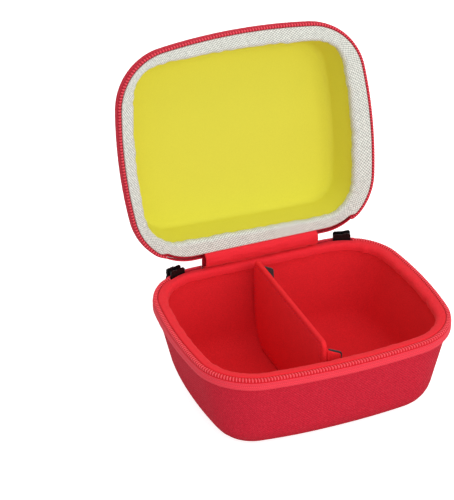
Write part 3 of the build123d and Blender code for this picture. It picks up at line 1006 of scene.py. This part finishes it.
class CASE_OT_lips(bpy.types.Operator):
    """Build the padded lips round both mouths"""

    bl_idname = "card_case.lips"
    bl_label = "Padded lips"

    def execute(self, context):
        s = sizes()
        base_mesh = lip(-1, s.base_lip_outer, s.base_lip_inner, 2.6 * MM, 21)
        base = finish_piece("base_lip_roll", base_mesh, "lip", "base", "red_lining", "base_lip")
        lid_mesh = lip(1, s.lid_lip_outer, s.lid_lip_inner, 2.4 * MM, 27, mouth_outline(0.6 * MM))
        lid = finish_piece("lid_lip_roll", lid_mesh, "grey", "lid", "grey_lining", "lid_lip")
        return {"FINISHED"}


class CASE_OT_zipper(bpy.types.Operator):
    """Build the zipper's tapes, cores and teeth"""

    bl_idname = "card_case.zipper"
    bl_label = "Zipper halves"

    def execute(self, context):
        for half, body in HALVES.items():
            tape, bed, teeth = band(half, 31 + half), coil_bed(half), coil(half)
            tape_node, coil_node = f"{body}_zipper_tape", f"{body}_zipper_coil"
            finish_piece(f"{body}_tape_band", tape, f"{body}_band", body, "zipper_tape", tape_node)
            finish_piece(f"{body}_coil_bed", bed, f"{body}_bed", body, "zipper_tape")
            finish_piece(f"{body}_coil_teeth", teeth, "teeth", body, "zipper_coil", coil_node)
        return {"FINISHED"}


HINGE_THICK = 0.9 * MM
HINGE_GAP = 0.03 * MM  # between the shell and the cloth, and between the cloth and its stitches


def turned_arm(arm, share):
    """An arm from the hinge line, in (y, z), turned by a share of the lid's opening."""
    cos, sin = math.cos(-OPEN_ANGLE * share), math.sin(-OPEN_ANGLE * share)
    return Vector((arm.x * cos - arm.y * sin, arm.x * sin + arm.y * cos))


def hinge_weight(point, start, end):
    reach = end - start
    t = max(0.0, min(1.0, (point - start).dot(reach) / reach.length_squared))
    return t * t * (3 - 2 * t)


def folded(point, start, end):
    """The place at rest, with the lid open, of a point of the closed hinge.
    """
    arm = Vector(point) - PIVOT
    low, high, halvings = 0.0, 1.0, 40
    for _ in range(halvings):
        share = (low + high) / 2
        if hinge_weight(PIVOT + turned_arm(arm, share), start, end) > share:
            low = share
        else:
            high = share
    return PIVOT + turned_arm(arm, (low + high) / 2)


def hinge_columns(ends):
    """Even stations across the hinge, with both its ends pulled in by a little."""
    half, count = sizes().hinge_width / 2 - ends, 61
    line = Outline([(x, 0) for x in np.linspace(-half, half, count)], [(0, -1)] * count, False)
    line.runs -= half
    return line


def hinge_face(rise):
    """How far back the hinge cloth lies on the shell at a rise from the meeting plane."""
    s = sizes()
    over = max(0.0, abs(rise) - s.band_height)
    return s.rim_front - s.band + HINGE_GAP - over * math.tan(s.wall_draft)


def bending_piece(name, mesh, key, slot, start, end, *nodes):
    """An object of a cloth that runs from the base to the lid, already shaped at rest; start and end are not
    used.
    """
    cloth = new_object(name, mesh)
    mesh.materials.append(material_for(key))
    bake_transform(cloth)
    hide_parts(*nodes)
    return cloth


def outer_hinge():
    """The cloth that joins the shells at the back, folded at rest."""
    s = sizes()
    bend, edge, taper = Vector((0, 2.6 * MM)), 0.45, 1 * MM
    start, end = PIVOT - bend, PIVOT + turned_arm(bend, 1.0)
    reach, flat = s.hinge_reach, s.band_height
    rises = np.concatenate((np.linspace(-reach, -flat, 8)[:-1], np.linspace(-flat, reach, 70)))
    inside, outside = [], []
    for rise in rises:
        y, z = hinge_face(rise), s.base_height + rise
        share = min(1.0, edge + (1 - edge) * (reach - abs(rise)) / taper)
        inside.append(folded((y, z), start, end))
        outside.append(folded((y + HINGE_THICK * share, z), start, end))
    mesh = swept(hinge_columns(0), inside + outside[::-1], paired_ends=True)
    nodes = ("hinge_strip_base", "hinge_strip_lid")
    return bending_piece("hinge_cloth", mesh, "hinge", "hinge_fabric", start, end, *nodes)


def crumple(mesh, radius, size):
    """Soft creases across a rolled cloth, the same on its front and back, and none at its tucked edges."""
    tucked = radius * 1.02
    for vertex in mesh.vertices:
        arm = Vector((vertex.co.y, vertex.co.z)) - PIVOT
        if arm.length < tucked:
            continue
        x, turn = vertex.co.x, math.atan2(arm.y, arm.x)
        broad, fine = Vector((x * 110, turn * 2.2, 3.0)), Vector((x * 300, turn * 4.0, 9.0))
        wave = noise.noise(broad) + 0.5 * noise.noise(fine)
        vertex.co.y, vertex.co.z = PIVOT + arm + arm.normalized() * wave * size


def inner_hinge():
    """The lining inside the hinge, rolled about the fold line and tucked under both lips."""
    s = sizes()
    first = Vector((s.rim_front - s.band - 0.35 * MM, s.base_height - 0.3 * MM)) - PIVOT
    steps, thick, puff, trim = 24, 0.45 * MM, 0.10, 0.1 * MM
    swells = [1 + puff * math.sin(math.pi * k / steps) for k in range(steps + 1)]
    rolled = [turned_arm(first * swell, k / steps) for k, swell in enumerate(swells)]
    tuck_y, tuck_rise = s.rim_front - 4.7 * MM, 1.3 * MM
    below, above = (Vector((tuck_y, s.base_height + rise)) - PIVOT for rise in (-tuck_rise, tuck_rise))
    line = [PIVOT + arm for arm in (below, *rolled, turned_arm(above, 1.0))]
    inside, outside = [], []
    for k, point in enumerate(line):
        along = (line[min(k + 1, len(line) - 1)] - line[max(k - 1, 0)]).normalized()
        side = Vector((along.y, -along.x)) * thick / 2
        inside.append(point + side)
        outside.append(point - side)
    mesh = swept(hinge_columns(trim), inside + outside[::-1], paired_ends=True)
    crumple(mesh, first.length, 0.45 * MM)
    start, past = line[1], 1.13  # the end lies past the lid's edge, where a bend of the closed lining would stop; bending_piece does not read start and end
    end = start + (line[-2] - start) * past
    lining = bending_piece("hinge_inner_cloth", mesh, "lip", "red_lining", start, end, "hinge_inner_lining")
    flat = sum((b - a).length for a, b in zip(line, line[1:]))


def hinge_stitches(half, body):
    """A row of stitches that holds the hinge cloth to one shell."""
    s = sizes()
    hem, end = 1.5 * MM, 1.6 * MM
    rise = half * (s.hinge_reach - hem)
    back = hinge_face(rise) + HINGE_THICK + HINGE_GAP
    side = s.hinge_width / 2 - end
    path = [(x, back, s.base_height + rise) for x in np.linspace(half * side, -half * side, 40)]
    return stitch_row(f"{body}_hinge_stitches", path, body, "hinge_fabric", 0.74, 0.32 * MM)


class CASE_OT_hinge(bpy.types.Operator):
    """Build the fabric hinge that joins the lid to the base"""

    bl_idname = "card_case.hinge"
    bl_label = "Fabric hinge"

    def execute(self, context):
        cloth = outer_hinge()
        rows = [hinge_stitches(half, body) for half, body in HALVES.items()]
        inner_hinge()
        return {"FINISHED"}


def divider_outline(step):
    """The panel's outline, which follows the lining's leaning walls and rounded floor."""
    s = sizes()
    low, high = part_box("divider_panel")
    end, foot, knee = high[1], high[1] - s.panel_foot, s.panel_knee
    corners = [(end, high[2]), (-end, high[2]), (-end, knee), (-foot, low[2]), (foot, low[2]), (end, knee)]
    radii = [s.panel_top_round] * 2 + [10 * MM] + [s.panel_bottom_round] * 2 + [10 * MM]
    return rounded_polygon(corners, radii, step)


class CASE_OT_divider(bpy.types.Operator):
    """Build the padded divider panel with its bound and stitched edge"""

    bl_idname = "card_case.divider"
    bl_label = "Divider"

    def execute(self, context):
        low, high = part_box("divider_panel")
        outline = divider_outline(1.2 * MM)
        middle, half = (high[0] + low[0]) / 2, (high[0] - low[0]) / 2
        rim, seam, sunk, rim_drop = 1.15 * MM, 2.6 * MM, 0.30 * MM, 0.1 * MM
        # the furrow of the seam, as millimetres inward from it and down into the cloth
        dip = ((1.2, 0.0), (0.9, 0.04), (0.6, 0.12), (0.25, 0.28), (0.0, 0.34))
        dip += ((-0.25, 0.28), (-0.6, 0.12), (-1.0, 0.05))
        front = [(seam + a * MM, half - b * MM) for a, b in dip]
        for a in np.linspace(0, math.pi / 2, 5):
            front.append((rim * (1 - math.sin(a)), half - rim_drop - rim * (1 - math.cos(a))))
        profile = front + [(a, -b) for a, b in reversed(front)]

        def across(point, rise):
            return (middle + rise, point[0], point[1])

        mesh = swept(outline, profile, False, place=across)
        nodes = ("divider_fabric", "divider_panel")
        finish_piece("divider_cloth", mesh, "divider", "divider", *nodes)
        inner = outline.points - outline.normals * seam
        for name, way in (("left", -1), ("right", 1)):
            path = [across(p, way * (half - sunk)) for p in inner]
            turn = math.radians(90) * way
            name = f"divider_stitches_{name}"
            stitch_row(name, path, "divider", "divider_fabric", 0.72, 0.3 * MM, turn, True)
        return {"FINISHED"}


def thin_layer(corners, radii, low, high, place):
    """A flat layer with softened edges, from low to high across its outline."""
    soft, inner = min(0.22 * MM, (high - low) / 2.5), 0.6 * MM
    profile = [(inner, low), (soft, low), (0, low + soft), (0, high - soft), (soft, high), (inner, high)]
    outline = rounded_polygon(corners, radii, 0.9 * MM)
    return swept(outline, profile, False, place=place)


class CASE_OT_tabs(bpy.types.Operator):
    """Build the divider's hanging tabs and the black hook strips behind them"""

    bl_idname = "card_case.tabs"
    bl_label = "Divider tabs"

    def execute(self, context):
        thick, small, drop, edge, sewn_reach = 0.7 * MM, 0.4 * MM, 4 * MM, 0.95 * MM, 9 * MM
        bulge, bulge_turn, overlap = 0.25 * MM, 260, 0.05 * MM  # the turn is in radians for each metre
        for side, name in ((-1, "front"), (1, "back")):
            low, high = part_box(f"divider_{name}_tab")
            near, far, top, bottom = low[0] - overlap, high[0], high[2], low[2]
            wall = max(abs(low[1]), abs(high[1]))

            def hanging(point, rise):
                out = max(0.0, (point[0] - near) / (far - near))
                swell = bulge * math.sin((point[1] - bottom) * bulge_turn) * out
                return (point[0], side * (rise + swell), point[1])

            def sewn_on(point, rise):
                return (rise, point[0], point[1])

            outer = [(near, bottom), (far, bottom), (far, top - drop), (near, top)]
            red = thin_layer(outer, [small, 2 * MM, 2 * MM, small], wall - thick, wall, hanging)
            left, right = sorted(side * (wall - reach) for reach in (sewn_reach, small))
            flange = rectangle(left, bottom, right, top)
            radii = [1.2 * MM if abs(y) < wall - 2 * MM else small for y, _ in flange]
            tab = joined([red, thin_layer(flange, radii, near, near + thick, sewn_on)])
            nodes = ("divider_fabric", f"divider_{name}_tab")
            finish_piece(f"tab_{name}_cloth", tab, "divider", "divider", *nodes)
            back = [
                (near + thick, bottom - edge),
                (far + edge, bottom - edge),
                (far + edge, top - drop + edge * 0.7),
                (near + thick, top + edge * 0.5),
            ]
            radii = [small, 2.6 * MM, 2.6 * MM, small]
            black = thin_layer(back, radii, wall - 2 * thick, wall - thick, hanging)
            nodes = ("black_hook", f"divider_{name}_hook")
            finish_piece(f"tab_{name}_hooks", black, "hook", "divider", *nodes)
        return {"FINISHED"}


class CASE_OT_carried_pieces(bpy.types.Operator):
    """Finish the pieces that keep their frame shape"""

    bl_idname = "card_case.carried_pieces"
    bl_label = "Sliders and pulls"

    def execute(self, context):
        for kind, key in (("slider", "metal"), ("pull", "rubber")):
            for side in ("left", "right"):
                obj = frame["nodes"][f"{kind}_{side}"]
                if not obj.material_slots:
                    obj.data.materials.append(None)
                for slot in obj.material_slots:
                    slot.material = material_for(key)
        return {"FINISHED"}


def add_ground():
    """A pale floor that looks white, with only a soft shade under the case."""
    reach, white = 4.0, (1, 1, 1, 1)
    mesh = bpy.data.meshes.new("floor")
    mesh.from_pydata([(x, y, 0) for x, y in rectangle(-reach, -reach, reach, reach)], [], [(0, 1, 2, 3)])
    floor = new_object("floor", mesh)
    floor.location.z = -0.2 * MM
    material = bpy.data.materials.new("pale_floor")
    nodes = Nodes(emptied(material))
    plain = nodes.get("ShaderNodeBsdfDiffuse", Color=(0.8, 0.8, 0.8, 1))
    glow = nodes.get("ShaderNodeEmission", Color=white, Strength=0.78)
    bright = nodes.get("ShaderNodeAddShader", _0=plain, _1=glow)
    nodes.by_ray(("Camera", "Transmission"), plain, bright, "ShaderNodeOutputMaterial")
    mesh.materials.append(material)


def add_world(scene):
    """A white world, softer in its light than it looks."""
    scene.world = bpy.data.worlds.new("studio")
    nodes = Nodes(emptied(scene.world))
    soft, white = (nodes.get("ShaderNodeBackground", Color=(1, 1, 1, 1), Strength=k) for k in (0.6, 1.0))
    nodes.by_ray(("Camera", "Glossy", "Transmission"), soft, white, "ShaderNodeOutputWorld")


def add_lamp(name, place, size, power):
    """A square soft light aimed at the middle of the case."""
    lamp = bpy.data.lights.new(name, "AREA")
    lamp.size = size
    lamp.energy = power
    obj = new_object(name, lamp)
    aim = Vector((0, 0, 0.06))
    obj.location = place
    obj.rotation_euler = (aim - Vector(place)).to_track_quat("-Z", "Y").to_euler()


def add_camera(scene):
    """The camera of the photograph, from a fit to the rim, the lid and the decks."""
    turn, lift, roll = (math.radians(degrees) for degrees in (-21.542, 30.356, -0.727))
    distance, right_shift, up_shift = 1.2276, -0.03969, 0.07397
    focal_pixels, picture_pixels, sensor = 2286.0, 500, 36.0
    back = Vector((math.sin(turn) * math.cos(lift), -math.cos(turn) * math.cos(lift), math.sin(lift)))
    level = (-back).cross(Vector((0, 0, 1))).normalized()
    upward = level.cross(-back)
    right = level * math.cos(roll) + upward * math.sin(roll)
    up = -level * math.sin(roll) + upward * math.cos(roll)
    camera = bpy.data.cameras.new("camera")
    camera.sensor_width = sensor
    camera.lens = focal_pixels * sensor / picture_pixels
    camera.clip_start = 0.05
    obj = new_object("camera", camera)
    place = back * distance + right * right_shift + up * up_shift
    obj.matrix_world = Matrix.Translation(place) @ Matrix((right, up, back)).transposed().to_4x4()
    scene.camera = obj


class CASE_OT_stage(bpy.types.Operator):
    """Set the floor, the lights, the world and the camera"""

    bl_idname = "card_case.stage"
    bl_label = "Stage and camera"

    def execute(self, context):
        context.scene.view_settings.view_transform = "Standard"
        add_ground()
        add_world(context.scene)
        add_lamp("key", (0.35, -1.25, 0.62), 1.0, 7.0)
        add_lamp("fill", (-0.35, -1.35, 0.5), 1.2, 3.2)
        add_lamp("top", (0.1, 0.0, 1.5), 1.1, 4.6)
        add_camera(context.scene)
        return {"FINISHED"}


STEPS = (
    CASE_OT_base_mouldings,
    CASE_OT_lid_mouldings,
    CASE_OT_lips,
    CASE_OT_zipper,
    CASE_OT_hinge,
    CASE_OT_divider,
    CASE_OT_tabs,
    CASE_OT_carried_pieces,
    CASE_OT_stage,
)


class CASE_PT_panel(bpy.types.Panel):
    """The case's sizes, colours and build steps"""

    bl_idname = "CASE_PT_panel"
    bl_label = "Card Case"
    bl_space_type = "VIEW_3D"
    bl_region_type = "UI"
    bl_category = "Card Case"

    def draw(self, context):
        for group in (context.scene.case_sizes, context.scene.case_colours):
            box = self.layout.box()
            for key in group.__annotations__:
                box.prop(group, key)
        for step in STEPS:
            self.layout.operator(step.bl_idname)


CLASSES = (CaseSizes, CaseColours, *STEPS, CASE_PT_panel)


def register():
    for item in CLASSES:
        bpy.utils.register_class(item)
    bpy.types.Scene.case_sizes = PointerProperty(type=CaseSizes)
    bpy.types.Scene.case_colours = PointerProperty(type=CaseColours)


def unregister():
    del bpy.types.Scene.case_colours
    del bpy.types.Scene.case_sizes
    for item in reversed(CLASSES):
        bpy.utils.unregister_class(item)


def main():
    register()
    for step in STEPS:
        group, name = step.bl_idname.split(".")
        getattr(getattr(bpy.ops, group), name)()
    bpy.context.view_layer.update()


if __name__ == "__main__":
    main()
